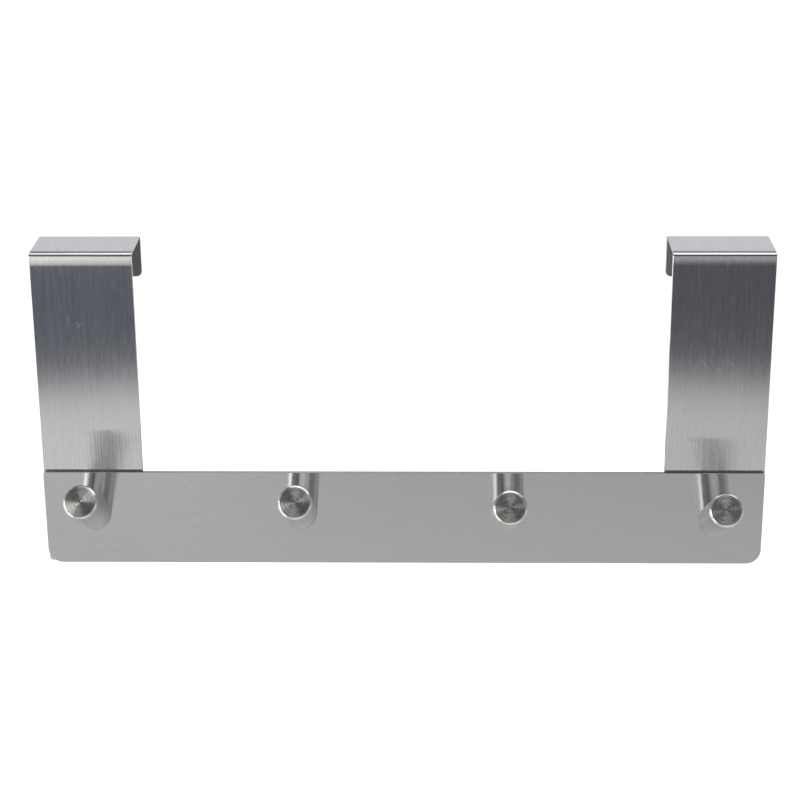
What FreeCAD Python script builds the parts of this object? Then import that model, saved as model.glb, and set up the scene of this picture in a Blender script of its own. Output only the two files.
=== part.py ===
import FreeCAD, Part
import os
import Sketcher

# Over door hook rail: a flat rail carried by two folded straps, with four turned pegs.
# Millimetres. +X runs along the rail, +Y points into the door, +Z points up.
# The origin is on the door's top front edge, midway between the straps.

Vector = FreeCAD.Vector

os.makedirs("parts", exist_ok=True)
doc = FreeCAD.newDocument("over_door_hook")

# Driving sizes: name, value and what it measures. Lengths in millimetres, tilts in degrees.
SIZES = [
    ("rail_length", "360", "rail, end to end"),
    ("rail_height", "49.5", "rail, lower edge to upper edge"),
    ("rail_thick", "2", "rail plate thickness"),
    ("rail_low_corner", "7.5", "radius of the rail's lower corners"),
    ("rail_top_corner", "1.5", "radius of the rail's upper corners"),
    ("rail_edge_round", "0.3", "rounding of the rail's cut edges"),
    ("rail_drop", "161.5", "top of the door down to the rail's lower edge"),
    ("strap_width", "50", "width of each folded strap"),
    ("strap_thick", "1", "strap sheet thickness"),
    ("bend_inside", "0.7", "inside radius of the strap's folds"),
    ("fold_lead", "4.5", "slightly leaning stretch of the strap that leads into its front fold"),
    ("fold_lean", "0.18", "how far that stretch leans back by the underside of the top"),
    ("door_slot", "29.5", "clear gap that the door's top edge goes into"),
    ("lip_length", "21", "top face down to the rear lip's end"),
    ("lip_corner", "2.8", "radius of the rear lip's lower corners"),
    ("foot_corner", "2", "radius of the strap's lower corners"),
    ("left_foot_rise", "0.2", "left strap's lower end above the rail's lower edge"),
    ("right_foot_rise", "3", "right strap's lower end above the rail's lower edge"),
    ("strap_edge_break", "0.3", "chamfer that breaks the strap's cut edges"),
    ("left_peg_margin", "25", "rail's left end to the first peg, the rest being evenly spaced"),
    ("right_peg_margin", "23.9", "last peg to the rail's right end"),
    ("peg_diameter", "16.5", "round bar that the pegs are turned from"),
    ("peg_reach", "45", "peg, foot centre to end face along its axis"),
    ("peg_rim", "0.9", "chamfer round the peg's end face"),
    ("pip_diameter", "1.6", "centre mark on the peg's end face"),
    ("pip_depth", "0.3", "depth of the centre mark"),
    ("peg_rise", "27.8", "peg foot centre above the rail's lower edge"),
    ("low_peg_rise", "24.2", "the same for the outer right peg, which sits lower"),
    ("peg_tilt", "30", "peg axis above level"),
    ("low_peg_tilt", "27", "the same for the inner right peg, which points lower"),
    ("screw_diameter", "4", "fixing screw shank"),
    ("screw_length", "8", "fixing screw over its head"),
    ("screw_point", "0.5", "chamfer at the screw's end"),
    ("head_diameter", "7.5", "countersunk head across its face"),
    ("head_land", "0.25", "straight rim of the countersunk head"),
    ("drive_span", "4", "cross recess, tip to tip"),
    ("drive_width", "0.9", "cross recess, width of an arm"),
    ("drive_depth", "1.2", "cross recess, depth"),
    ("screw_play", "0.1", "clearance all round the screw"),
    ("drill_room", "1", "blind hole left past the screw's end"),
]

sheet = doc.addObject("Spreadsheet::Sheet", "sizes")
for row, (name, value, note) in enumerate(SIZES, start=1):
    sheet.set(f"A{row}", note)
    sheet.set(f"B{row}", value)
    sheet.setAlias(f"B{row}", name)
doc.recompute()

# Sizes worked out from the driving ones, as expressions
STRAP_LEFT = "-sizes.rail_length / 2"
STRAP_RIGHT = "sizes.rail_length / 2 - sizes.strap_width"
RAIL_BACK = "-sizes.strap_thick"
RAIL_FRONT = "-sizes.strap_thick - sizes.rail_thick"
PEG_RADIUS = "sizes.peg_diameter / 2"
SHANK = "sizes.screw_diameter / 2"
HEAD = "sizes.head_diameter / 2"
FIRST_PEG = "(sizes.left_peg_margin - sizes.rail_length / 2)"
PEG_STEP = "(sizes.rail_length - sizes.left_peg_margin - sizes.right_peg_margin) / 3"
ONE_SHEET = "sizes.rail_thick"
TWO_SHEETS = "(sizes.strap_thick + sizes.rail_thick)"

# Lengths closer than this count as equal
FIRM = 1e-4

# Each peg: label, place along the rail, height of its foot, tilt, metal that its screw passes
PEGS = [
    ("peg_outer_left", FIRST_PEG, "sizes.peg_rise", "sizes.peg_tilt", TWO_SHEETS),
    ("peg_inner_left", f"{FIRST_PEG} + {PEG_STEP}", "sizes.peg_rise", "sizes.peg_tilt", ONE_SHEET),
    ("peg_inner_right", f"{FIRST_PEG} + 2 * {PEG_STEP}",
     "sizes.peg_rise", "sizes.low_peg_tilt", ONE_SHEET),
    ("peg_outer_right", f"{FIRST_PEG} + 3 * {PEG_STEP}",
     "sizes.low_peg_rise", "sizes.peg_tilt", TWO_SHEETS),
]
OUTER_LEFT = PEGS[0]
OUTER_RIGHT = PEGS[3]


def number(expression):
    """The present value of an expression of the sizes."""
    result = sheet.evalExpression(expression)
    return float(getattr(result, "Value", result))


def new_body(label, x="0", y="0", z="0"):
    """An empty body at a place given by expressions."""
    body = doc.addObject("PartDesign::Body", label)
    body.Label = label
    for axis, expression in zip("xyz", (x, y, z)):
        body.setExpression(f"Placement.Base.{axis}", expression)
    return body


def new_sketch(body, name, plane, **offset):
    """A sketch on one of the body's own origin planes, moved by offset expressions."""
    sketch = body.newObject("Sketcher::SketchObject", name)
    support = [part for part in body.Origin.OriginFeatures if part.Role == plane]
    sketch.AttachmentSupport = [(support[0], "")]
    sketch.MapMode = "FlatFace"
    for key, expression in offset.items():
        path = "Rotation.Angle" if key == "turn" else f"Base.{key}"
        sketch.setExpression(f"AttachmentOffset.{path}", expression)
    doc.recompute()
    return sketch


def draw(sketch, points):
    """A closed outline of straight lines, whose level and upright lines stay so."""
    places = [Vector(number(u), number(v), 0) for u, v in points]
    count = len(places)
    for i in range(count):
        sketch.addGeometry(Part.LineSegment(places[i], places[(i + 1) % count]), False)
    for i in range(count):
        sketch.addConstraint(Sketcher.Constraint("Coincident", i, 2, (i + 1) % count, 1))
        step = places[(i + 1) % count] - places[i]
        if abs(step.y) < FIRM:
            sketch.addConstraint(Sketcher.Constraint("Horizontal", i))
        elif abs(step.x) < FIRM:
            sketch.addConstraint(Sketcher.Constraint("Vertical", i))


def dimension(sketch, kind, expression, *places):
    """A driving dimension tied to an expression of the sizes."""
    index = sketch.addConstraint(Sketcher.Constraint(kind, *places, number(expression)))
    sketch.setExpression(f"Constraints[{index}]", expression)


def pad(body, name, sketch, length):
    """Raise a sketch by a length."""
    feature = body.newObject("PartDesign::Pad", name)
    feature.Profile = sketch
    feature.setExpression("Length", length)
    doc.recompute()


def revolve(body, name, sketch):
    """Turn a half section about its sketch's own level axis."""
    feature = body.newObject("PartDesign::Revolution", name)
    feature.Profile = sketch
    feature.ReferenceAxis = (sketch, ["H_Axis"])
    feature.Angle = 360
    doc.recompute()


def take_away(body, feature, before):
    """Recompute a cut and make sure that it removed something."""
    doc.recompute()
    if body.Shape.Volume > before - FIRM:
        raise RuntimeError(f"{feature.Name} cuts nothing from {body.Label}")


def pocket(body, name, sketch, depth=None, turned=False):
    """Cut a sketch into the body, right through where no depth is given."""
    before = body.Shape.Volume
    feature = body.newObject("PartDesign::Pocket", name)
    feature.Profile = sketch
    feature.Reversed = turned
    if depth:
        feature.setExpression("Length", depth)
    else:
        feature.Type = "ThroughAll"
    take_away(body, feature, before)
    return feature


def bore(body, name, sketch):
    """Cut a half section turned about its sketch's own level axis."""
    before = body.Shape.Volume
    feature = body.newObject("PartDesign::Groove", name)
    feature.Profile = sketch
    feature.ReferenceAxis = (sketch, ["H_Axis"])
    feature.Angle = 360
    take_away(body, feature, before)


def work_edges(body, kind, name, expression, wanted):
    """A Fillet or a Chamfer of the edges that a test accepts."""
    base = body.Tip
    names = [f"Edge{i}" for i, edge in enumerate(base.Shape.Edges, start=1) if wanted(edge)]
    feature = body.newObject(f"PartDesign::{kind}", name)
    feature.Base = (base, names)
    feature.setExpression("Radius" if kind == "Fillet" else "Size", expression)
    doc.recompute()


def runs(edge, axis, length):
    """True where an edge runs straight along axis 0, 1 or 2 for a length and no other way."""
    box = edge.BoundBox
    extent = [box.XLength, box.YLength, box.ZLength]
    along = extent.pop(axis)
    return abs(along - length) < FIRM and max(extent) < FIRM


def screw_hole(body, name, x, y, z):
    """Clearance hole and countersink for a screw whose head face is at x, y, z."""
    sketch = new_sketch(body, f"{name}_section", "YZ_Plane", x=y, y=z, z=x)
    head = f"{HEAD} + sizes.screw_play"
    shank = f"{SHANK} + sizes.screw_play"
    slope = f"{HEAD} - {SHANK}"
    behind = "sizes.rail_thick + sizes.strap_thick"
    ahead = f"sizes.screw_length + {behind}"
    draw(sketch, [(behind, "0"), (behind, head), ("-sizes.head_land", head),
                  (f"-sizes.head_land - ({slope})", shank), (f"-({ahead})", shank),
                  (f"-({ahead})", "0")])
    sketch.addConstraint(Sketcher.Constraint("PointOnObject", 0, 1, -1))
    dimension(sketch, "DistanceX", behind, -1, 1, 0, 1)
    dimension(sketch, "DistanceY", head, 0, 1, 0, 2)
    dimension(sketch, "DistanceX", "sizes.head_land", 1, 2, -1, 1)
    dimension(sketch, "DistanceX", slope, 2, 2, 2, 1)
    dimension(sketch, "DistanceY", shank, 4, 2, 4, 1)
    dimension(sketch, "DistanceX", ahead, 4, 2, -1, 1)
    bore(body, name, sketch)


def make_rail():
    """The flat bar. Its own origin is the middle of its back face's lower edge."""
    body = new_body("rail", y=RAIL_BACK, z="-sizes.rail_drop")
    front = new_sketch(body, "rail_front", "XZ_Plane")
    half = "sizes.rail_length / 2"
    draw(front, [(f"-{half}", "0"), (half, "0"), (half, "sizes.rail_height"),
                 (f"-{half}", "sizes.rail_height")])
    front.addConstraint(Sketcher.Constraint("PointOnObject", 0, 1, -1))
    dimension(front, "DistanceX", half, 0, 1, -1, 1)
    dimension(front, "DistanceX", "sizes.rail_length", 0, 1, 0, 2)
    dimension(front, "DistanceY", "sizes.rail_height", 1, 1, 1, 2)
    pad(body, "rail_plate", front, "sizes.rail_thick")

    thick = number("sizes.rail_thick")
    middle = number("sizes.rail_height / 2")
    work_edges(body, "Fillet", "rail_low_corners", "sizes.rail_low_corner",
               lambda edge: runs(edge, 1, thick) and edge.BoundBox.ZMax < middle)
    work_edges(body, "Fillet", "rail_top_corners", "sizes.rail_top_corner",
               lambda edge: runs(edge, 1, thick) and edge.BoundBox.ZMin > middle)
    work_edges(body, "Fillet", "rail_cut_edges", "sizes.rail_edge_round",
               lambda edge: edge.BoundBox.YLength < FIRM)
    for label, x, rise, tilt, passed in PEGS:
        screw_hole(body, f"{label}_hole", x, f"{passed} - sizes.rail_thick", rise)
    return body


def make_strap(label, left, foot_rise, peg):
    """A folded strap. Its own origin is its left side, behind its leg and under its top."""
    body = new_body(label, x=left)
    leg = f"sizes.rail_drop - {foot_rise}"
    lip_end = "sizes.strap_thick - sizes.lip_length"
    outside = "sizes.door_slot + sizes.strap_thick"
    lean_slope = "sizes.fold_lean / sizes.fold_lead"
    side = new_sketch(body, f"{label}_side", "YZ_Plane")
    corner = f"{lean_slope} * (sizes.fold_lead + sizes.strap_thick) - sizes.strap_thick"
    draw(side, [("-sizes.strap_thick", f"-({leg})"), ("0", f"-({leg})"), ("0", "-sizes.fold_lead"),
                ("sizes.fold_lean", "0"), ("sizes.door_slot", "0"), ("sizes.door_slot", lip_end),
                (outside, lip_end), (outside, "sizes.strap_thick"), (corner, "sizes.strap_thick"),
                ("-sizes.strap_thick", "-sizes.fold_lead")])
    side.addConstraint(Sketcher.Constraint("PointOnObject", 1, 1, -2))
    side.addConstraint(Sketcher.Constraint("PointOnObject", 3, 1, -1))
    side.addConstraint(Sketcher.Constraint("Parallel", 2, 8))
    dimension(side, "DistanceX", "sizes.strap_thick", 0, 1, 0, 2)
    dimension(side, "DistanceY", leg, 1, 1, -1, 1)
    dimension(side, "DistanceY", "sizes.fold_lead", 1, 2, -1, 1)
    dimension(side, "DistanceX", "sizes.fold_lean", -1, 1, 2, 2)
    dimension(side, "DistanceX", "sizes.door_slot", -1, 1, 3, 2)
    dimension(side, "DistanceX", "sizes.strap_thick", 5, 1, 5, 2)
    dimension(side, "DistanceY", "sizes.lip_length", 6, 1, 6, 2)
    dimension(side, "DistanceY", "sizes.strap_thick", 3, 1, 7, 2)
    side.addConstraint(Sketcher.Constraint("Horizontal", 9, 1, 1, 2))
    pad(body, f"{label}_sheet", side, "sizes.strap_width")

    width = number("sizes.strap_width")
    thick = number("sizes.strap_thick")
    foot = number(f"-({leg})")
    lip = number(lip_end)
    work_edges(body, "Fillet", f"{label}_inner_folds", "sizes.bend_inside",
               lambda edge: runs(edge, 0, width) and abs(edge.BoundBox.ZMax) < FIRM)
    work_edges(body, "Fillet", f"{label}_outer_folds", "sizes.bend_inside + sizes.strap_thick",
               lambda edge: runs(edge, 0, width) and abs(edge.BoundBox.ZMax - thick) < FIRM)
    work_edges(body, "Fillet", f"{label}_foot_corners", "sizes.foot_corner",
               lambda edge: runs(edge, 1, thick) and abs(edge.BoundBox.ZMin - foot) < FIRM)
    work_edges(body, "Fillet", f"{label}_lip_corners", "sizes.lip_corner",
               lambda edge: runs(edge, 1, thick) and abs(edge.BoundBox.ZMin - lip) < FIRM)
    work_edges(body, "Chamfer", f"{label}_cut_edges", "sizes.strap_edge_break",
               lambda edge: not runs(edge, 0, width) and not runs(edge, 1, thick))
    peg_label, x, rise, tilt, passed = peg
    screw_hole(body, f"{label}_hole", f"{x} - ({left})", "0", f"{rise} - sizes.rail_drop")
    return body


def make_peg(label, x, rise, tilt, passed):
    """A turned peg. Its own origin is the centre of its slant-cut foot."""
    body = new_body(label, x=x, y=RAIL_FRONT, z=f"{rise} - sizes.rail_drop")
    section = new_sketch(body, f"{label}_section", "YZ_Plane", turn=f"180 - {tilt}")
    behind = "sizes.peg_diameter"
    shoulder = "sizes.peg_reach - sizes.peg_rim"
    rim = f"{PEG_RADIUS} - sizes.peg_rim"
    pip = "sizes.pip_diameter / 2"
    draw(section, [(f"-{behind}", "0"), (f"-{behind}", PEG_RADIUS), (shoulder, PEG_RADIUS),
                   ("sizes.peg_reach", rim), ("sizes.peg_reach", pip),
                   ("sizes.peg_reach - sizes.pip_depth", "0")])
    section.addConstraint(Sketcher.Constraint("PointOnObject", 0, 1, -1))
    dimension(section, "DistanceX", behind, 0, 1, -1, 1)
    dimension(section, "DistanceY", PEG_RADIUS, 0, 1, 0, 2)
    dimension(section, "DistanceX", "sizes.peg_reach", -1, 1, 3, 1)
    dimension(section, "DistanceX", "sizes.peg_rim", 1, 2, 2, 2)
    dimension(section, "DistanceY", "sizes.peg_rim", 2, 2, 1, 2)
    dimension(section, "DistanceY", pip, 5, 1, 3, 2)
    dimension(section, "DistanceX", "sizes.pip_depth", 4, 2, 4, 1)
    revolve(body, f"{label}_turned", section)

    face = new_sketch(body, f"{label}_foot", "XZ_Plane")
    face.addGeometry(Part.Circle(Vector(0, 0, 0), Vector(0, 0, 1), number("sizes.peg_reach")))
    face.addConstraint(Sketcher.Constraint("Coincident", 0, 3, -1, 1))
    dimension(face, "Radius", "sizes.peg_reach", 0)
    pocket(body, f"{label}_slant_cut", face)

    drill = new_sketch(body, f"{label}_drill", "XZ_Plane")
    thread = f"{SHANK} + sizes.screw_play"
    drill.addGeometry(Part.Circle(Vector(0, 0, 0), Vector(0, 0, 1), number(thread)))
    drill.addConstraint(Sketcher.Constraint("Coincident", 0, 3, -1, 1))
    dimension(drill, "Radius", thread, 0)
    pocket(body, f"{label}_thread", drill, turned=True,
           depth=f"sizes.screw_length - ({passed}) + sizes.drill_room")
    return body


def make_screw():
    """The countersunk fixing screw. Its own origin is the middle of its head's face."""
    body = new_body("one_screw")
    section = new_sketch(body, "screw_section", "YZ_Plane")
    slope = f"{HEAD} - {SHANK}"
    end = "sizes.screw_length"
    draw(section, [("0", "0"), ("0", HEAD), ("-sizes.head_land", HEAD),
                   (f"-sizes.head_land - ({slope})", SHANK),
                   (f"sizes.screw_point - {end}", SHANK),
                   (f"-{end}", f"{SHANK} - sizes.screw_point"), (f"-{end}", "0")])
    section.addConstraint(Sketcher.Constraint("Coincident", 0, 1, -1, 1))
    dimension(section, "DistanceY", HEAD, 0, 1, 0, 2)
    dimension(section, "DistanceX", "sizes.head_land", 1, 2, 1, 1)
    dimension(section, "DistanceX", slope, 2, 2, 2, 1)
    dimension(section, "DistanceX", end, 6, 1, -1, 1)
    dimension(section, "DistanceY", f"{SHANK} - sizes.screw_point", 6, 1, 5, 1)
    dimension(section, "DistanceX", "sizes.screw_point", 4, 2, 4, 1)
    dimension(section, "DistanceY", SHANK, -1, 1, 3, 1)
    revolve(body, "screw_turned", section)

    arm = new_sketch(body, "drive_arm", "XZ_Plane")
    reach = "sizes.drive_span / 2"
    across = "sizes.drive_width / 2"
    draw(arm, [(f"-{reach}", f"-{across}"), (reach, f"-{across}"), (reach, across),
               (f"-{reach}", across)])
    arm.addConstraint(Sketcher.Constraint("Symmetric", 0, 1, 2, 1, -1, 1))
    dimension(arm, "DistanceX", "sizes.drive_span", 0, 1, 0, 2)
    dimension(arm, "DistanceY", "sizes.drive_width", 1, 1, 1, 2)
    slot = pocket(body, "drive_slot", arm, depth="sizes.drive_depth", turned=True)
    cross = body.newObject("PartDesign::PolarPattern", "drive_cross")
    cross.Originals = [slot]
    axis = [part for part in body.Origin.OriginFeatures if part.Role == "Y_Axis"]
    cross.Axis = (axis[0], [""])
    cross.Angle = 90
    cross.Occurrences = 2
    body.Tip = cross
    doc.recompute()
    return body


def make_fixing_screws(screw):
    """One screw behind each peg, as a group of separate solids."""
    links = []
    for label, x, rise, tilt, passed in PEGS:
        link = doc.addObject("App::Link", label.replace("peg", "screw"))
        link.LinkedObject = screw
        link.setExpression("Placement.Base.x", x)
        link.setExpression("Placement.Base.y", f"{RAIL_FRONT} + {passed}")
        link.setExpression("Placement.Base.z", f"{rise} - sizes.rail_drop")
        links.append(link)
    group = doc.addObject("Part::Compound", "fixing_screws")
    group.Label = "fixing_screws"
    group.Links = links
    doc.recompute()
    return group


nodes = [
    make_rail(),
    make_strap("strap_left", STRAP_LEFT, "sizes.left_foot_rise", OUTER_LEFT),
    make_strap("strap_right", STRAP_RIGHT, "sizes.right_foot_rise", OUTER_RIGHT),
]
for label, x, rise, tilt, passed in PEGS:
    nodes.append(make_peg(label, x, rise, tilt, passed))
nodes.append(make_fixing_screws(make_screw()))

doc.recompute()
for thing in doc.Objects:
    if {"Invalid", "Error"} & set(thing.State):
        raise RuntimeError(f"{thing.Label} failed: {thing.State}")
for node in nodes:
    if node.Shape.isNull() or not node.Shape.isValid():
        raise RuntimeError(f"{node.Label} has no valid shape")
for node in nodes:
    node.Shape.exportStep(f"parts/{node.Label}.step")
    box = node.Shape.optimalBoundingBox(False, False)
    print(f"{node.Label}: {len(node.Shape.Solids)} solid(s), {node.Shape.Volume:.1f} mm3,",
          f"X {box.XMin:.2f} to {box.XMax:.2f}, Y {box.YMin:.2f} to {box.YMax:.2f},",
          f"Z {box.ZMin:.2f} to {box.ZMax:.2f}")
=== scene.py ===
# %% [markdown]
# # A rail of pegs that hangs over a door, in brushed stainless steel
# The real thing is a flat bar with four turned pegs, carried by two straps of thin sheet that
# fold over the top edge of a door. The construction is already drawn at its real size, so this
# lesson loads those solids as a fixed frame and is about their finish: how sheet and bar are
# brushed, how a lathe leaves its rings, and how a studio shows up in plain metal.

# %% Load the solids
import bmesh
import bpy
import math
from mathutils import Matrix, Vector


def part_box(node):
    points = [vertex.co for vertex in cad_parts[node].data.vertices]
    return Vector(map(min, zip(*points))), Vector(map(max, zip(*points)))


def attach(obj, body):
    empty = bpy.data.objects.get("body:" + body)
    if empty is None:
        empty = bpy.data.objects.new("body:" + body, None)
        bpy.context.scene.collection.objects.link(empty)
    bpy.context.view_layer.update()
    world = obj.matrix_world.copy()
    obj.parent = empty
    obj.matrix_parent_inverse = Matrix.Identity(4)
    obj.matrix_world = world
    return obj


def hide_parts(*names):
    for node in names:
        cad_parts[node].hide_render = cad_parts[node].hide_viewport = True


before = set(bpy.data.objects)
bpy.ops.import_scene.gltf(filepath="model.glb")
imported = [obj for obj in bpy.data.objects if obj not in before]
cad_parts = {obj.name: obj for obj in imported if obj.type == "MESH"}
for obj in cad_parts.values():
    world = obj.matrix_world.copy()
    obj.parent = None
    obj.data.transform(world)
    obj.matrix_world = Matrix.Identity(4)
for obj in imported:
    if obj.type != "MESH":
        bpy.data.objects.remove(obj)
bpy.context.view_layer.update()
MM = 0.001
print("pieces:", sorted(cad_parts))

# %% [markdown]
# ## Where the camera stands
# A product photograph of a long rail is taken from a little above and from about a metre away.
# The place, the three turns and the focal length were found by matching the straight edges of
# the real thing. They are numbers of the camera alone, so no piece is bent to suit the picture.

# %% Camera
CAMERA_PLACE = Vector((20.089, -971.973, 293.429)) * MM
LOOK_DOWN = math.radians(20.72266)
TURN_LEFT = math.radians(1.25713)
ROLL = math.radians(-0.38097)
FOCAL_PIXELS = 2108.43
PICTURE_SIDE = 800
SENSOR_WIDTH = 36

camera_data = bpy.data.cameras.new("photo_camera")
camera_data.sensor_width = SENSOR_WIDTH
camera_data.lens = SENSOR_WIDTH * FOCAL_PIXELS / PICTURE_SIDE
camera = bpy.data.objects.new("photo_camera", camera_data)
bpy.context.scene.collection.objects.link(camera)
upright = Matrix.Rotation(math.pi / 2 - LOOK_DOWN, 4, "X")
turned = Matrix.Rotation(TURN_LEFT, 4, "Z") @ upright @ Matrix.Rotation(ROLL, 4, "Z")
camera.matrix_world = Matrix.Translation(CAMERA_PLACE) @ turned
bpy.context.scene.camera = camera
bpy.context.scene.view_settings.view_transform = "Standard"
print(f"camera: {camera_data.lens:.1f} mm lens at {tuple(round(v, 3) for v in CAMERA_PLACE)}")

# %% [markdown]
# ## A short way to write nodes
# Every finish below is a small tree of nodes. A few helpers add a node and fill its inputs, with
# a number, a colour or another node's output, so that a recipe reads from top to bottom.


# %% Node helpers
def fill(tree, node, inputs):
    """Gives a node its inputs. Each is a plain value or another node's output."""
    for key, value in inputs.items():
        if isinstance(value, bpy.types.NodeSocket):
            tree.links.new(value, node.inputs[key])
        else:
            node.inputs[key].default_value = value
    return node


def add(tree, kind, inputs=None, **settings):
    """Adds a shader node, sets it up and fills its inputs."""
    made = tree.nodes.new("ShaderNode" + kind)
    for name, value in settings.items():
        setattr(made, name, value)
    return fill(tree, made, inputs or {})


def sums(tree, operation, *values):
    """One to three values through a Math node."""
    return add(tree, "Math", dict(enumerate(values)), operation=operation).outputs[0]


def vector(tree, operation, *values):
    """One or two vectors through a Vector Math node."""
    return add(tree, "VectorMath", dict(enumerate(values)), operation=operation).outputs


def ramp(tree, value, low, high, start=0.0, end=1.0):
    """A smooth step from start to end as the value goes from low to high."""
    step = add(tree, "MapRange", {"Value": value, "From Min": low, "From Max": high,
                                  "To Min": start, "To Max": end},
               interpolation_type="SMOOTHSTEP")
    return step.outputs["Result"]


def blend(tree, share, first, second):
    """A colour between two others."""
    mix = add(tree, "Mix", {"Factor": share, "A": first, "B": second}, data_type="RGBA")
    return mix.outputs["Result"]


print("node helpers ready")

# %% [markdown]
# ## The room that the metal shows
# Bare metal has hardly any colour of its own: what the eye reads as steel is the room. This one
# is a white table and a white backdrop, with the unlit part of the studio in front, behind the
# camera. The room is painted in the world by direction, one surface over another. How high one
# looks is given in degrees above level, and how far aside or back as the part of the direction
# along X or Y. Every edge is a pair of numbers, from nothing to full, because brushed metal
# blurs each edge anyway.

# %% Empty room
world = bpy.data.worlds.new("studio")
bpy.context.scene.world = world
world.use_nodes = True
room = world.node_tree
room.nodes.clear()
direction = add(room, "TexCoord").outputs["Generated"]
parts = add(room, "SeparateXYZ", {"Vector": direction}).outputs
aside = sums(room, "ABSOLUTE", parts["X"])


def height(start, end):
    """A mask that goes from 0 at one height of a direction, in degrees, to 1 at another."""
    low, high = (math.sin(math.radians(degrees)) for degrees in (start, end))
    return ramp(room, parts["Z"], low, high)


def where_all(*masks):
    """Where several masks meet."""
    met = masks[0]
    for mask in masks[1:]:
        met = sums(room, "MULTIPLY", met, mask)
    return met


print("room: empty")

# %% [markdown]
# ## The unlit front and a window
# Seen from the straps, the front of the room is the dark studio round the camera, and a grey
# wall stands over it. A window on the left starts just above the table and is brighter higher
# up. The wall and the window together light the soft band under each fold.

# %% Unlit front
UNLIT_LEFT = (0.140, 0.154, 0.184, 1)
UNLIT_RIGHT = (0.111, 0.115, 0.130, 1)
UNLIT_TURN = (0.09, -0.16)
FRONT_WALL = (0.43, 0.43, 0.44, 1)
WALL_FOOT = (-15.5, -8.5)

unlit = blend(room, ramp(room, parts["X"], *UNLIT_TURN), UNLIT_RIGHT, UNLIT_LEFT)
colour = blend(room, height(*WALL_FOOT), unlit, FRONT_WALL)
print(f"room: unlit below {WALL_FOOT[0]} degrees, grey wall from {WALL_FOOT[1]}")

# %% Window
WINDOW_LOW = (1.12, 1.11, 1.07, 1)
WINDOW_HIGH = (1.45, 1.44, 1.4, 1)
WINDOW_GLOW = (-13.5, -9)
WINDOW_SIDE = (-0.05, -0.15)
WINDOW_FOOT = (-16.9, -13.4)
WINDOW_HEAD = (3, -6)

window = where_all(ramp(room, parts["X"], *WINDOW_SIDE), height(*WINDOW_FOOT),
                   height(*WINDOW_HEAD))
glass = blend(room, height(*WINDOW_GLOW), WINDOW_LOW, WINDOW_HIGH)
colour = blend(room, window, colour, glass)
print(f"room: window up to {WINDOW_HEAD[0]} degrees")

# %% [markdown]
# ## Ceiling, backdrop and sides
# The tight curve of the folds and the upper sides of the pegs look up at a dark ceiling with a
# white panel overhead. The tops of the folds see the backdrop behind the rail, and the flanks of
# the pegs see the bright sides of the room.

# %% Ceiling
DARK_CEILING = (0.05, 0.048, 0.046, 1)
CEILING_EDGE = (10, 18)
CEILING_SIDE = (0.6, 0.3)
OVERHEAD = (1.0, 1.0, 1.0, 1)
OVERHEAD_EDGE = (46, 62)
OVERHEAD_SIDE = (0.45, 0.15)

ceiling = where_all(height(*CEILING_EDGE), ramp(room, aside, *CEILING_SIDE))
colour = blend(room, ceiling, colour, DARK_CEILING)
overhead = where_all(height(*OVERHEAD_EDGE), ramp(room, aside, *OVERHEAD_SIDE))
colour = blend(room, overhead, colour, OVERHEAD)
print(f"room: ceiling from {CEILING_EDGE[1]} degrees, panel from {OVERHEAD_EDGE[1]}")

# %% Backdrop and sides
BACKDROP_WHITE = (0.80, 0.80, 0.84, 1)
BACKDROP_FRONT = (-0.05, 0.25)
BACKDROP_HEAD = (26, 21)
BACKDROP_SIDE = (0.8, 0.55)
BRIGHT_LEFT = (1.0, 1.0, 1.0, 1)
BRIGHT_RIGHT = (0.95, 0.95, 0.95, 1)
BRIGHT_TURN = (-0.2, 0.2)
BRIGHT_START = (0.45, 0.85)
BRIGHT_HEAD = (8, 0)

backdrop = where_all(ramp(room, parts["Y"], *BACKDROP_FRONT), height(*BACKDROP_HEAD),
                     ramp(room, aside, *BACKDROP_SIDE))
colour = blend(room, backdrop, colour, BACKDROP_WHITE)
bright = blend(room, ramp(room, parts["X"], *BRIGHT_TURN), BRIGHT_LEFT, BRIGHT_RIGHT)
sides = where_all(ramp(room, aside, *BRIGHT_START), height(*BRIGHT_HEAD))
colour = blend(room, sides, colour, bright)
print(f"room: backdrop up to {BACKDROP_HEAD[0]} degrees, bright sides")

# %% [markdown]
# ## The table
# The straps stand upright, so they show the table's front edge as a soft change from dark to
# light part way down. Further down the table lies in half shade on the left, and right under the
# rail it is bright again. Low on the left stands a lit card, and low behind the rail is shade.

# %% Table
TABLE_EDGE = (-19.45, -20.65)
TABLE_EDGE_LEFT = (0.91, 0.90, 0.885, 1)
TABLE_EDGE_RIGHT = (0.70, 0.69, 0.675, 1)
TABLE_EDGE_TURN = (-0.25, 0.2)
TABLE_NEARER = (-22.5, -32)
TABLE_LEFT = (0.36, 0.36, 0.36, 1)
TABLE_RIGHT = (0.78, 0.775, 0.77, 1)
TABLE_TURN = (-0.17, -0.05)
TABLE_UNDER = (-38, -54)
TABLE_BELOW = (1.15, 1.13, 1.12, 1)

table_far = blend(room, ramp(room, parts["X"], *TABLE_EDGE_TURN), TABLE_EDGE_LEFT,
                  TABLE_EDGE_RIGHT)
table_near = blend(room, ramp(room, parts["X"], *TABLE_TURN), TABLE_LEFT, TABLE_RIGHT)
table = blend(room, height(*TABLE_NEARER), table_far, table_near)
table = blend(room, height(*TABLE_UNDER), table, TABLE_BELOW)
colour = blend(room, height(*TABLE_EDGE), colour, table)
print(f"room: table below {TABLE_EDGE[0]} degrees")

# %% Low on the left and behind
LOW_LEFT = (1.8, 1.78, 1.74, 1)
LOW_LEFT_START = (-0.5, -0.65)
LOW_LEFT_HEAD = (-12, -18)
LOW_BEHIND = (0.32, 0.32, 0.34, 1)
LOW_BEHIND_START = (0.3, 0.5)
LOW_BEHIND_HEAD = (-5, -12)

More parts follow.
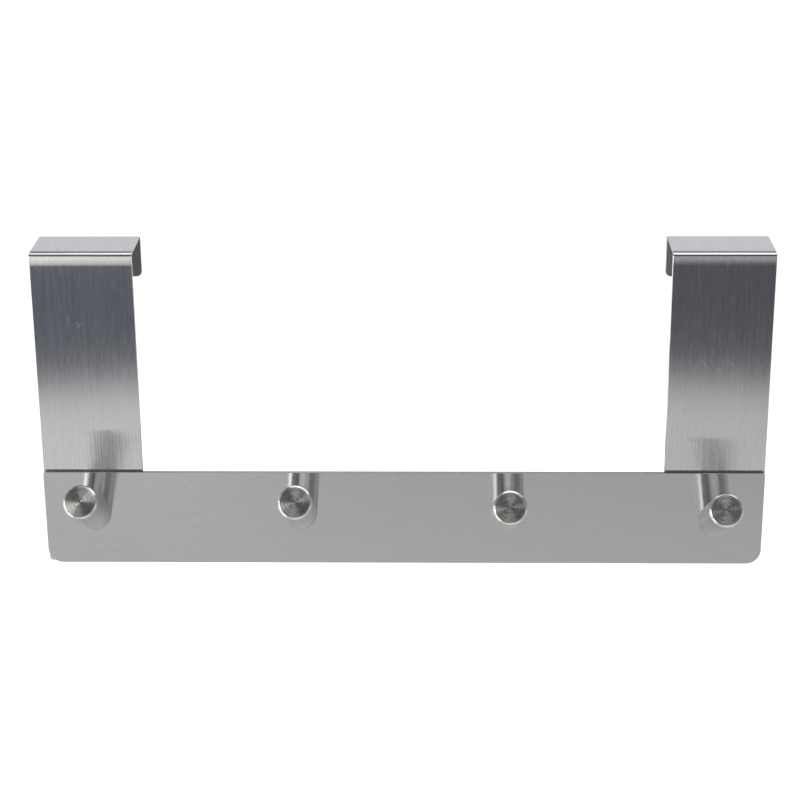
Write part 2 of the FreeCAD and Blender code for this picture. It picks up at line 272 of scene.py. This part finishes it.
low_left = where_all(ramp(room, parts["X"], *LOW_LEFT_START), height(*LOW_LEFT_HEAD))
colour = blend(room, low_left, colour, LOW_LEFT)
low_behind = where_all(ramp(room, parts["Y"], *LOW_BEHIND_START), height(*LOW_BEHIND_HEAD))
colour = blend(room, low_behind, colour, LOW_BEHIND)
print("room: lit card on the left, shade behind")

# %% [markdown]
# ## White for the camera
# Only the metal may see this room. The camera looks at plain white, and so do the rays that
# light the floor, which keeps the floor free of the room's dark parts.

# %% White for the camera
PURE_WHITE = (1, 1, 1, 1)

rays = add(room, "LightPath").outputs
for seen_by in ("Is Camera Ray", "Is Diffuse Ray"):
    colour = blend(room, rays[seen_by], colour, PURE_WHITE)
shine = add(room, "Background", {"Color": colour})
add(room, "OutputWorld", {"Surface": shine.outputs[0]})
print("room nodes:", len(room.nodes))

# %% [markdown]
# ## Three soft boxes
# The light comes from the left. A small box close by throws the bright fan across the first
# peg's end and grows weaker from peg to peg. A larger one further out whitens the left of their
# rims. The third hangs above and behind, and draws the bright line along the folds and over the
# rims. They are area lamps, so each peg sees them from its own place.


# %% Lamps
def soft_box(name, centre, target, width, tall, radiance):
    """An area lamp that shows in the metal with a known brightness."""
    data = bpy.data.lights.new(name, "AREA")
    data.shape = "RECTANGLE"
    data.size = width
    data.size_y = tall
    data.energy = radiance * math.pi * width * tall
    lamp = bpy.data.objects.new(name, data)
    bpy.context.scene.collection.objects.link(lamp)
    aim = (Vector(target) - Vector(centre)).to_track_quat("-Z", "Y")
    lamp.matrix_world = Matrix.Translation(centre) @ aim.to_matrix().to_4x4()
    lamp.visible_camera = False
    print(f"{name}: {data.energy:.1f} W")


soft_box("near_left_box", centre=(-0.6, -0.45, 0.07), target=(-0.155, -0.045, -0.11),
         width=0.56, tall=0.26, radiance=2.5)
soft_box("far_left_box", centre=(-1.2, -0.3, -0.1), target=(0, -0.05, -0.1),
         width=1.0, tall=0.4, radiance=2.5)
soft_box("top_back_box", centre=(0.22, 0.36, 0.65), target=(0.1, 0.1, -0.1),
         width=1.3, tall=0.72, radiance=1.7)

# %% [markdown]
# ## Floor
# The rail hangs in the air as it does on a door, and the floor lies well below it. It is pale
# and only catches a soft shadow. For the camera a little light of its own lifts it to white.

# %% Floor
FLOOR_DROP = 0.45
FLOOR_SIZE = 12
PAPER = (0.8, 0.8, 0.8, 1)
PAPER_LIFT = 0.3

bpy.ops.mesh.primitive_plane_add(size=FLOOR_SIZE, location=(0, 0, -FLOOR_DROP))
floor = bpy.context.object
floor.name = "floor"
floor.visible_glossy = False
paper = bpy.data.materials.new("white_paper")
paper.use_nodes = True
tree = paper.node_tree
tree.nodes.clear()
sheet = add(tree, "BsdfDiffuse", {"Color": PAPER})
seen = add(tree, "LightPath").outputs["Is Camera Ray"]
lift = add(tree, "Emission", {"Color": PURE_WHITE,
                              "Strength": sums(tree, "MULTIPLY", seen, PAPER_LIFT)})
lifted = add(tree, "AddShader", {0: sheet.outputs[0], 1: lift.outputs[0]})
add(tree, "OutputMaterial", {"Surface": lifted.outputs[0]})
floor.data.materials.append(paper)
print(f"floor: {FLOOR_DROP} m below the top of the door")

# %% [markdown]
# ## Groups and streaks
# A pattern that several steels share is a group, with named sockets for what differs. Both
# patterns below are stretched noise: where the place is scaled far more across the grooves than
# along them, the grains of the noise come out as long streaks.


# %% Group helper
def new_group(name, inputs, outputs):
    """An empty node group with named sockets, and its two ends."""
    group = bpy.data.node_groups.new(name, "ShaderNodeTree")
    for label, kind, value in inputs:
        socket = group.interface.new_socket(label, in_out="INPUT",
                                            socket_type="NodeSocket" + kind)
        if value is not None:
            socket.default_value = value
    for label, kind in outputs:
        group.interface.new_socket(label, in_out="OUTPUT", socket_type="NodeSocket" + kind)
    entry = group.nodes.new("NodeGroupInput")
    leave = group.nodes.new("NodeGroupOutput")
    return group, entry.outputs, leave


def use_group(tree, group, inputs):
    """A group placed in a material."""
    made = tree.nodes.new("ShaderNodeGroup")
    made.node_tree = group
    return fill(tree, made, inputs)


def noise(tree, place, scale, detail, roughness=0.5):
    """Plain noise round one half."""
    made = add(tree, "TexNoise", {"Vector": place, "Scale": scale, "Detail": detail,
                                  "Roughness": roughness})
    return made.outputs["Fac"]


STREAK_ROUGHNESS = 0.6


def streaks(tree, place, across, along, detail=2.0):
    """Noise that changes quickly across the grooves and slowly along them, per metre."""
    stretched = vector(tree, "MULTIPLY", place, (across, along, across))[0]
    return noise(tree, stretched, 1.0, detail, STREAK_ROUGHNESS)


print("group helpers ready")

# %% [markdown]
# ## Brushed grain
# Brushing drags an abrasive belt along the metal and leaves fine grooves in one direction. Up
# close each groove is a slightly lighter or darker line, and the sheen breaks across it. The
# grooves run along the group's Y. Fine and broad streaks together give a shade and a roughness,
# and long ones a height, which each steel below uses in its own measure.

# %% Grain group
FINE_STREAKS = {"across": 2400, "along": 110}
BROAD_STREAKS = {"across": 500, "along": 22, "detail": 1.0}
LONG_GROOVES = {"across": 2400, "along": 8}
FINE_SHARE = 0.72
NOISE_MIDDLE = 0.5

grain, given, leave = new_group(
    "brushed_grain",
    [("Place", "Vector", None), ("Shade depth", "Float", 0.1), ("Roughness", "Float", 0.25),
     ("Roughness spread", "Float", 0.05)],
    [("Shade", "Float"), ("Roughness", "Float"), ("Height", "Float")])
fine = sums(grain, "MULTIPLY", streaks(grain, given["Place"], **FINE_STREAKS), FINE_SHARE)
broad = sums(grain, "MULTIPLY", streaks(grain, given["Place"], **BROAD_STREAKS), 1 - FINE_SHARE)
change = sums(grain, "SUBTRACT", sums(grain, "ADD", fine, broad), NOISE_MIDDLE)
fill(grain, leave, {
    "Shade": sums(grain, "MULTIPLY_ADD", change, given["Shade depth"], 1.0),
    "Roughness": sums(grain, "MULTIPLY_ADD", change, given["Roughness spread"],
                      given["Roughness"]),
    "Height": streaks(grain, given["Place"], **LONG_GROOVES)})
print("grain group nodes:", len(grain.nodes))

# %% [markdown]
# ## Marks from handling
# A thing that was packed, unpacked and held has a few hairline scratches across the grain and
# some pinpricks. A scratch is rough, so it is light in a dark reflection and nearly lost in a
# light one. Stretched noise that is turned away from the grain, and kept only where it is high,
# leaves such short lines, and a second noise gathers them in patches.

# %% Handling group
HAIRLINE_STREAKS = {"across": 2600, "along": 150, "detail": 0.0}
HAIRLINE_CUT = (0.74, 0.84)
HAIRLINE_TURNS = (-50, 35)
PATCH_SCALE = 45.0
PATCH_CUT = (0.54, 0.64)
PRICK_SCALE = 1900.0
PRICK_CUT = (0.80, 0.86)


def hairlines(tree, place, degrees):
    """Short sparse lines that cross the grain at an angle."""
    turned = add(tree, "Mapping", {"Vector": place, "Rotation": (0, 0, math.radians(degrees))})
    return ramp(tree, streaks(tree, turned.outputs[0], **HAIRLINE_STREAKS), *HAIRLINE_CUT)


handling, given, leave = new_group("handling_marks", [("Place", "Vector", None)],
                                   [("Marks", "Float")])
patch = ramp(handling, noise(handling, given["Place"], PATCH_SCALE, 1.0), *PATCH_CUT)
pricks = ramp(handling, noise(handling, given["Place"], PRICK_SCALE, 0.0), *PRICK_CUT)
lines = sums(handling, "MAXIMUM",
             *[hairlines(handling, given["Place"], turn) for turn in HAIRLINE_TURNS])
lines = sums(handling, "MULTIPLY", lines, patch)
fill(handling, leave, {"Marks": sums(handling, "MAXIMUM", lines, pricks)})
print("handling group nodes:", len(handling.nodes))

# %% [markdown]
# ## One recipe for brushed steel
# All four steels are the same metal and differ in how they were worked. Real brushed metal
# mirrors sharply along its grooves and smears across them, so the recipe needs the direction of
# the grooves on every face, and the grooves' height as a bump. Each steel below hands in its own
# place, direction and marks.


# %% Steel helper
def darken(tree, colour, shade):
    """A colour times a grey value."""
    grey = add(tree, "CombineColor", {0: shade, 1: shade, 2: shade}).outputs[0]
    mix = add(tree, "Mix", {"Factor": 1.0, "A": colour, "B": grey}, data_type="RGBA",
              blend_type="MULTIPLY")
    return mix.outputs["Result"]


def steel(name, tint, place, tangent, shade_depth, roughness, spread, streak, groove_depth,
          marks=None, form=None):
    """A brushed steel. place and tangent build their nodes in the tree. marks may change the
    shade and the roughness further, and form gives a height in metres."""
    material = bpy.data.materials.new(name)
    material.use_nodes = True
    tree = material.node_tree
    tree.nodes.clear()
    grooves = use_group(tree, grain, {"Place": place(tree), "Shade depth": shade_depth,
                                      "Roughness": roughness, "Roughness spread": spread})
    shade, rough = grooves.outputs["Shade"], grooves.outputs["Roughness"]
    if marks:
        shade, rough = marks(tree, shade, rough)
    bump = add(tree, "Bump", {"Strength": 1.0, "Distance": groove_depth,
                              "Height": grooves.outputs["Height"]}).outputs["Normal"]
    if form:
        bump = add(tree, "Bump", {"Strength": 1.0, "Distance": 1.0, "Height": form(tree),
                                  "Normal": bump}).outputs["Normal"]
    shader = add(tree, "BsdfPrincipled", {
        "Base Color": darken(tree, tint, shade), "Metallic": 1.0, "Roughness": rough,
        "Anisotropic": streak, "Normal": bump, "Tangent": tangent(tree)})
    add(tree, "OutputMaterial", {"Surface": shader.outputs[0]})
    print(f"{name}: roughness {roughness}, {len(tree.nodes)} nodes")
    return material


print("steel recipe ready")

# %% [markdown]
# ## What the steels share
# A mark is a rougher and slightly lighter spot. The cut edges of a strip face along the very
# axis that the light spreads in on its broad faces, so the direction is tipped over there.


# %% Marks and faces
def split(tree, place):
    """The X, Y and Z of a place or a direction."""
    return add(tree, "SeparateXYZ", {"Vector": place}).outputs


def spot_on(tree):
    """The place on the object itself, in metres."""
    return add(tree, "TexCoord").outputs["Object"]


def face_normal(tree):
    """Which way the face looks, without any bump."""
    return add(tree, "NewGeometry").outputs["True Normal"]


def facing(tree, axis):
    """How squarely a face looks along an axis, from 0 to 1."""
    part = split(tree, face_normal(tree))[axis]
    return sums(tree, "MULTIPLY", part, part)


def tangent_across(tree, across, axis, instead):
    """Across the grooves, and another way on the cut edges that face along the same axis."""
    turn = add(tree, "VectorMath", {0: instead, "Scale": facing(tree, axis)}, operation="SCALE")
    return vector(tree, "ADD", across, turn.outputs[0])[0]


MARK_LIGHTER = 0.3


def handled(tree, place, shade, rough, strength):
    """The marks from handling, as a rougher and slightly lighter spot."""
    marks = use_group(tree, handling, {"Place": place}).outputs["Marks"]
    marks = sums(tree, "MULTIPLY", marks, strength)
    lighter = sums(tree, "MULTIPLY_ADD", marks, MARK_LIGHTER, 1.0)
    return sums(tree, "MULTIPLY", shade, lighter), sums(tree, "ADD", rough, marks)


print("marks and faces ready")

# %% [markdown]
# ## Strap steel
# The straps were brushed along their length before they were folded, so the grooves climb the
# front, cross the top and go down the lip at the back. Light spreads across the grooves and
# stays sharp along them, which is why the dark and the light zone part so clearly. Only the
# outer side was brushed. The side that faces the door still has the skin of the mill, which is
# duller, and its colour is darkened with painted shade inside the fold. It is told apart by
# whether a face looks towards a point inside the fold.

# %% Strap surface
STRAP_HANDLING = 0.14
INSIDE_FOLD = (0, 14.75 * MM, -15 * MM)
INNER_SIDE_EDGE = (0.5 * MM, 2 * MM)
MILL_ROUGHER = 0.2
# Painted shade: how much darker the side inside the fold is made.
FOLD_PAINTED_SHADE = 0.5


def strap_place(tree):
    """Across the strap in X, and along it in Y whichever way its sheet is folded."""
    at = split(tree, spot_on(tree))
    along = sums(tree, "SUBTRACT", at["Y"], at["Z"])
    return add(tree, "CombineXYZ", {"X": at["X"], "Y": along}).outputs[0]


def strap_marks_and_fold_shade(tree, shade, rough):
    """Handling marks, a rougher skin and painted shade on the side that faces the door."""
    shade, rough = handled(tree, strap_place(tree), shade, rough, STRAP_HANDLING)
    inwards = vector(tree, "SUBTRACT", INSIDE_FOLD, spot_on(tree))[0]
    inwards = vector(tree, "MULTIPLY", inwards, (0, 1, 1))[0]
    turned_in = vector(tree, "DOT_PRODUCT", face_normal(tree), inwards)["Value"]
    mill_and_shade = ramp(tree, turned_in, *INNER_SIDE_EDGE)
    rough = sums(tree, "ADD", rough, sums(tree, "MULTIPLY", mill_and_shade, MILL_ROUGHER))
    # Painted shade: the side that faces the door is darkened, as if shade fell inside the fold.
    darker = sums(tree, "SUBTRACT", 1.0, sums(tree, "MULTIPLY", mill_and_shade, FOLD_PAINTED_SHADE))
    return sums(tree, "MULTIPLY", shade, darker), rough


print(f"mill skin: {FOLD_PAINTED_SHADE:.0%} darker, {MILL_ROUGHER} rougher")

# %% [markdown]
# ## The bow next to the fold
# A sheet doesn't go from flat to bent at once: it starts to curve a little before the fold, on
# the front and on the top. The solid has one small kink there. A height, used as a bump, takes
# the kink back and bows the sheet evenly instead, which draws the soft band under each fold.

# %% Fold bow
BOW_LOW = -5.6 * MM
BOW_TOP = -0.7 * MM
BOW_TILT = math.radians(4.4)
KINK = -4.5 * MM
KINK_TILT = math.radians(2.29)
BACK_END = 6.5 * MM
BACK_START = 0.7 * MM
BACK_TILT = math.radians(5.5)
LOOKS_AHEAD = (-0.97, -0.99)
LOOKS_UP = (0.97, 0.99)


def beyond(tree, value, limit):
    """How far a value has gone past nothing, at most the limit."""
    return sums(tree, "MINIMUM", sums(tree, "MAXIMUM", value, 0.0), limit)


def bowed(tree, distance, length, tilt):
    """A height that leaves the flat evenly and has the full tilt at the end of the length."""
    gone = beyond(tree, distance, length)
    return sums(tree, "MULTIPLY", sums(tree, "MULTIPLY", gone, gone),
                -math.tan(tilt) / (2 * length))


def fold_bow(tree):
    """The even bow in the place of the kink, on the front and on the top."""
    at = split(tree, spot_on(tree))
    looks = split(tree, face_normal(tree))
    bow = bowed(tree, sums(tree, "SUBTRACT", at["Z"], BOW_LOW), BOW_TOP - BOW_LOW, BOW_TILT)
    over = beyond(tree, sums(tree, "SUBTRACT", at["Z"], KINK), BOW_TOP - KINK)
    front = sums(tree, "MULTIPLY_ADD", over, math.tan(KINK_TILT), bow)
    front = sums(tree, "MULTIPLY", front, ramp(tree, looks["Y"], *LOOKS_AHEAD))
    back = bowed(tree, sums(tree, "SUBTRACT", BACK_END, at["Y"]), BACK_END - BACK_START,
                 BACK_TILT)
    return sums(tree, "MULTIPLY_ADD", back, ramp(tree, looks["Z"], *LOOKS_UP), front)


print(f"bow: {(BOW_TOP - BOW_LOW) / MM:.1f} mm on the front,",
      f"{(BACK_END - BACK_START) / MM:.1f} mm on the top")

# %% Steel on the straps
SHEET_TINT = (0.60, 0.60, 0.605, 1)

strap_steel = steel("strap_steel", SHEET_TINT, strap_place,
                    lambda tree: tangent_across(tree, (1, 0, 0), "X", (0, 1, 1)),
                    shade_depth=0.4, roughness=0.13, spread=0.1, streak=1.0,
                    groove_depth=0.05 * MM, marks=strap_marks_and_fold_shade, form=fold_bow)
for name in ("strap_left", "strap_right"):
    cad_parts[name].data.materials[0] = strap_steel

# %% [markdown]
# ## Rail steel
# The bar is brushed from end to end. Its grooves are level, so it spreads light up and down:
# the dark room and the white table mix into one even grey, and a peg in front of it is drawn
# out into an upright band. The long cut edges are left as the shear made them, darker.

# %% Rail steel
RAIL_HANDLING = 0.12
SHEARED_DARKER = 0.5


def rail_place(tree):
    """Across the grooves in X, and along the rail in Y."""
    at = split(tree, spot_on(tree))
    return add(tree, "CombineXYZ", {"X": at["Z"], "Y": at["X"], "Z": at["Y"]}).outputs[0]


def rail_marks(tree, shade, rough):
    """Handling marks, and the darker sheared edges."""
    shade, rough = handled(tree, rail_place(tree), shade, rough, RAIL_HANDLING)
    sheared = sums(tree, "MULTIPLY", facing(tree, "Z"), SHEARED_DARKER)
    return sums(tree, "MULTIPLY", shade, sums(tree, "SUBTRACT", 1.0, sheared)), rough


rail_steel = steel("rail_steel", SHEET_TINT, rail_place,
                   lambda tree: tangent_across(tree, (0, 0, 1), "Z", (0, 1, 0)),
                   shade_depth=0.16, roughness=0.19, spread=0.1, streak=1.0,
                   groove_depth=0.002 * MM, marks=rail_marks)
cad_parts["rail"].data.materials[0] = rail_steel

# %% [markdown]
# ## Turned pegs
# A peg is a length of round bar, faced and chamfered in a lathe, then cut off at a slant so that
# it points upwards. A half section spun about its axis gives the turned shape. The ends are the
# part that one looks at, so the spin has many steps, and the chamfer is crowned by a hair, as a
# file leaves it.

# %% Turn the bar
PEG_RIM = 0.9 * MM
RIM_CROWN = 0.07 * MM
RIM_STEPS = 4
PIP_RADIUS = 0.8 * MM
PIP_DEPTH = 0.3 * MM
SPIN_STEPS = 128
SAME_POINT = 1e-7


def crowned_rim(radius, reach):
    """The chamfer, from the face to the side, with its slight crown."""
    for step in range(RIM_STEPS + 1):
        share = step / RIM_STEPS
        crown = RIM_CROWN * 4 * share * (1 - share) / math.sqrt(2)
        yield radius - PEG_RIM * (1 - share) + crown, reach - PEG_RIM * share + crown


def turned_bar(radius, reach):
    """The turned shape about Z, with its end face up and more than enough bar below."""
    shape = bmesh.new()
    section = [(0, reach - PIP_DEPTH), (PIP_RADIUS, reach), *crowned_rim(radius, reach),
               (radius, -2 * radius)]
    points = [shape.verts.new((r, 0, z)) for r, z in section]
    lines = [shape.edges.new(pair) for pair in zip(points, points[1:])]
    bmesh.ops.spin(shape, geom=points + lines, cent=(0, 0, 0), dvec=(0, 0, 0), axis=(0, 0, 1),
                   angle=2 * math.pi, steps=SPIN_STEPS, use_merge=True)
    bmesh.ops.remove_doubles(shape, verts=shape.verts, dist=SAME_POINT)
    return shape


print(f"bar: {SPIN_STEPS} steps round, rim of {PEG_RIM / MM:.1f} mm")

# %% [markdown]
# ## The slanting foot
# One plane through the origin cuts the foot, and the blind hole for the screw goes in from there,
# square to the cut. The hole's ring is bridged to the cut's rim while it still lies deep in the
# bar, because two rings with one centre could be joined in the wrong sense. Then it moves up to
# be the mouth, and an extruded wall goes back down and is closed.

# %% Cut the foot
HOLE_RADIUS = 2.1 * MM


def put_in_order(shape):
    """Sorts edges and faces by their points: the operators leave them in another order each
    time, and the piece is to be the same each run."""
    shape.verts.index_update()
    count = len(shape.verts)

    def first_points(part):
        places = sorted(point.index for point in part.verts)[:3]
        return sum(place / count ** n for n, place in enumerate(places))

    shape.edges.sort(key=first_points)
    shape.faces.sort(key=first_points)


def slant_foot(shape, slant, hole_depth):
    """Cuts the foot where the origin is and sinks the screw's blind hole square to it."""
    into_rail = Vector((0, math.sin(slant), -math.cos(slant)))
    everything = list(shape.verts) + list(shape.edges) + list(shape.faces)
    cut = bmesh.ops.bisect_plane(shape, geom=everything, plane_co=(0, 0, 0), plane_no=into_rail,
                                 clear_outer=True)
    rim = [part for part in cut["geom_cut"] if isinstance(part, bmesh.types.BMEdge)]
    sunk = Matrix.Translation(into_rail * -hole_depth) @ Matrix.Rotation(slant, 4, "X")
    circle = bmesh.ops.create_circle(shape, cap_ends=False, radius=HOLE_RADIUS,
                                     segments=SPIN_STEPS, matrix=sunk)["verts"]
    mouth = list(dict.fromkeys(edge for point in circle for edge in point.link_edges))
    bmesh.ops.bridge_loops(shape, edges=rim + mouth)
    bmesh.ops.translate(shape, verts=circle, vec=into_rail * hole_depth)
    wall = bmesh.ops.extrude_edge_only(shape, edges=mouth)["geom"]
    deep = [part for part in wall if isinstance(part, bmesh.types.BMVert)]
    bmesh.ops.translate(shape, verts=deep, vec=into_rail * -hole_depth)
    bottom = [part for part in wall if isinstance(part, bmesh.types.BMEdge)]
    bmesh.ops.edgeloop_fill(shape, edges=bottom)
    bmesh.ops.recalc_face_normals(shape, faces=shape.faces)
    put_in_order(shape)


print(f"hole: {2 * HOLE_RADIUS / MM:.1f} mm across")

# %% [markdown]
# ## A peg in its place
# Each solid peg says by its box how thick and how long the turned one has to be, so both fill the
# same space. Two things are noted on each point before the peg is put in place: where it lay in
# the lathe, and which way the tool went past it. The finish needs both. Faces that meet at more
# than twelve degrees keep a crisp edge, the rest is shaded smooth.

# %% Make a peg
SHARP_ANGLE = math.radians(12)


def note_lathe(mesh, lean):
    """Keeps where each point lay in the lathe, and which way the tool passed it."""
    place = mesh.attributes.new("lathe_place", "FLOAT_VECTOR", "POINT")
    path = mesh.attributes.new("tool_path", "FLOAT_VECTOR", "POINT")
    for point, spot, way in zip(mesh.vertices, place.data, path.data):
        spot.vector = point.co
        way.vector = lean @ (Vector((0, 0, 1)).cross(point.co) / PEG_RIM)


def make_peg(node, tilt, hole_depth):
    """A smooth peg in the place of the CAD node."""
    low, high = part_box(node)
    slant = math.radians(tilt)
    radius = (high.x - low.x) / 2
    foot_height = low.z + radius / math.cos(slant)
    reach = (high.y - low.y - (radius - PEG_RIM) * math.sin(slant)) / math.cos(slant)
    shape = turned_bar(radius, reach)
    slant_foot(shape, slant, hole_depth)
    open_edges = sum(not edge.is_manifold for edge in shape.edges)
    print(f"{node}: radius {radius / MM:.2f}, reach {reach / MM:.2f} mm, open edges {open_edges},",
          f"volume {shape.calc_volume() / MM ** 3:.0f} mm3")
    mesh = bpy.data.meshes.new(f"{node}_turned")
    shape.to_mesh(mesh)
    shape.free()
    lean = Matrix.Rotation(math.pi / 2 - slant, 4, "X")
    note_lathe(mesh, lean)
    centre = Vector(((low.x + high.x) / 2, high.y, foot_height))
    mesh.transform(Matrix.Translation(centre) @ lean)
    mesh.shade_smooth()
    mesh.set_sharp_from_angle(angle=SHARP_ANGLE)
    peg = bpy.data.objects.new(f"{node}_turned", mesh)
    bpy.context.scene.collection.objects.link(peg)
    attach(peg, "root")
    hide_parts(node)
    return peg


print("peg maker ready")

# %% [markdown]
# ## The tool's rings
# On the end of a turned bar the grooves are rings, so the light fans out from the centre in two
# opposite wedges. The direction of the tool was noted on the mesh, which keeps the fan true at
# any tilt. The tool also leaves the end a touch higher in the middle, which a bump repeats.

# %% Rings and dome
RING_LENGTH = 8 * MM
RING_DRIFT = 0.15 * MM
DOME_TILT = math.radians(1.5)
DOME_EDGE = 7.3 * MM


def lathe_spot(tree):
    """Where a point lay in the lathe."""
    return add(tree, "Attribute", attribute_name="lathe_place").outputs["Vector"]


def from_axis(tree):
    """Which way a point lies from the lathe's axis, and how far."""
    flat = vector(tree, "MULTIPLY", lathe_spot(tree), (1, 1, 0))[0]
    return vector(tree, "NORMALIZE", flat)[0], vector(tree, "LENGTH", flat)["Value"]


def peg_place(tree):
    """Across the tool's rings in X, and a short way along them in Y and Z."""
    round_about, radius = from_axis(tree)
    turn = split(tree, round_about)
    profile = sums(tree, "SUBTRACT", radius, split(tree, lathe_spot(tree))["Z"])
    along = sums(tree, "MULTIPLY", turn["X"], RING_LENGTH)
    drift = sums(tree, "MULTIPLY", turn["Y"], RING_DRIFT)
    return add(tree, "CombineXYZ", {"X": profile, "Y": along, "Z": drift}).outputs[0]


def peg_tangent(tree):
    """Square to the tool's path, so that light fans out across the rings."""
    path = add(tree, "Attribute", attribute_name="tool_path").outputs["Vector"]
    return vector(tree, "CROSS_PRODUCT", face_normal(tree), path)[0]


def faced_dome(tree):
    """The slope grows evenly from the axis to the full tilt near the rim."""
    radius = from_axis(tree)[1]
    return sums(tree, "MULTIPLY", sums(tree, "MULTIPLY", radius, radius),
                -math.tan(DOME_TILT) / (2 * DOME_EDGE))


print(f"dome: {math.tan(DOME_TILT) * DOME_EDGE / 2 / MM:.3f} mm high")

# %% [markdown]
# ## Peg steel
# The tool chatters and fingers touch the metal, so the rings are lighter and darker in patches.
# The pip in the middle is darkened with painted shade. The facing cut is coarser than the side of
# the bar, whose rings are much fainter.

# %% Peg steel
BLOTCH_SCALE = 1500.0
BLOTCH_SHADE = 0.4
BLOTCH_ROUGHER = 0.06
PIP_EDGE = (1.2 * PIP_RADIUS, 0.6 * PIP_RADIUS)
# Painted shade in the pip: the share of its colour that is kept.
PIP_PAINTED_SHADE = 0.5
PEG_RADIUS = 8.25 * MM
SIDE_EDGE = (PEG_RADIUS - 0.15 * MM, PEG_RADIUS - 0.02 * MM)
SIDE_SHADE = 0.9
SIDE_EVENNESS = 0.25
FACE_EDGE = (PEG_RADIUS - PEG_RIM + 0.1 * MM, PEG_RADIUS - PEG_RIM)
FACE_ROUGHER = 0.08
PEG_TINT = (0.61, 0.60, 0.585, 1)


def lathe_marks(tree, shade, rough):
    """Patches along the rings, painted shade in the pip, a fainter side and a rougher end face."""
    blotches = noise(tree, lathe_spot(tree), BLOTCH_SCALE, 2.0)
    change = sums(tree, "SUBTRACT", blotches, NOISE_MIDDLE)
    shade = sums(tree, "ADD", shade, sums(tree, "MULTIPLY", change, BLOTCH_SHADE))
    rough = sums(tree, "ADD", rough, sums(tree, "MULTIPLY", change, BLOTCH_ROUGHER))
    radius = from_axis(tree)[1]
    side = ramp(tree, radius, *SIDE_EDGE)
    uneven = sums(tree, "MULTIPLY_ADD", side, SIDE_EVENNESS - 1, 1.0)
    uneven = sums(tree, "MULTIPLY", sums(tree, "SUBTRACT", shade, 1.0), uneven)
    level = sums(tree, "MULTIPLY_ADD", side, SIDE_SHADE - 1, 1.0)
    # Painted shade: the pip in the middle of the end is darkened.
    pip = ramp(tree, radius, *PIP_EDGE, 1.0, PIP_PAINTED_SHADE)
    shade = sums(tree, "MULTIPLY", sums(tree, "ADD", level, uneven), pip)
    face = ramp(tree, radius, *FACE_EDGE, 0.0, FACE_ROUGHER)
    return shade, sums(tree, "ADD", rough, face)


peg_steel = steel("peg_steel", PEG_TINT, peg_place, peg_tangent, shade_depth=1.4,
                  roughness=0.20, spread=0.2, streak=1.0, groove_depth=0.0025 * MM,
                  marks=lathe_marks, form=faced_dome)

# %% [markdown]
# ## Four pegs
# The pegs differ a little, as the real ones do: one was cut off nearer to square, so it points
# lower. The screws of the outer two also pass through a strap, so their holes are less deep.

# %% Put the pegs on
PEGS = {"peg_outer_left": {"tilt": 30, "hole_depth": 6 * MM},
        "peg_inner_left": {"tilt": 30, "hole_depth": 7 * MM},
        "peg_inner_right": {"tilt": 27, "hole_depth": 7 * MM},
        "peg_outer_right": {"tilt": 30, "hole_depth": 6 * MM}}

for node, sizes in PEGS.items():
    make_peg(node, **sizes).data.materials.append(peg_steel)

# %% [markdown]
# ## Screws
# From behind one sees the heads of the four screws that hold the pegs. They are plain steel
# from a box of many, so they only get a dull satin finish.

# %% Screw steel
SCREW_TINT = (0.5, 0.5, 0.51, 1)

screw_steel = steel("screw_steel", SCREW_TINT, spot_on, lambda tree: (0, 0, 1),
                    shade_depth=0.15, roughness=0.32, spread=0.08, streak=0.0,
                    groove_depth=0.001 * MM)
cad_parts["fixing_screws"].data.materials[0] = screw_steel
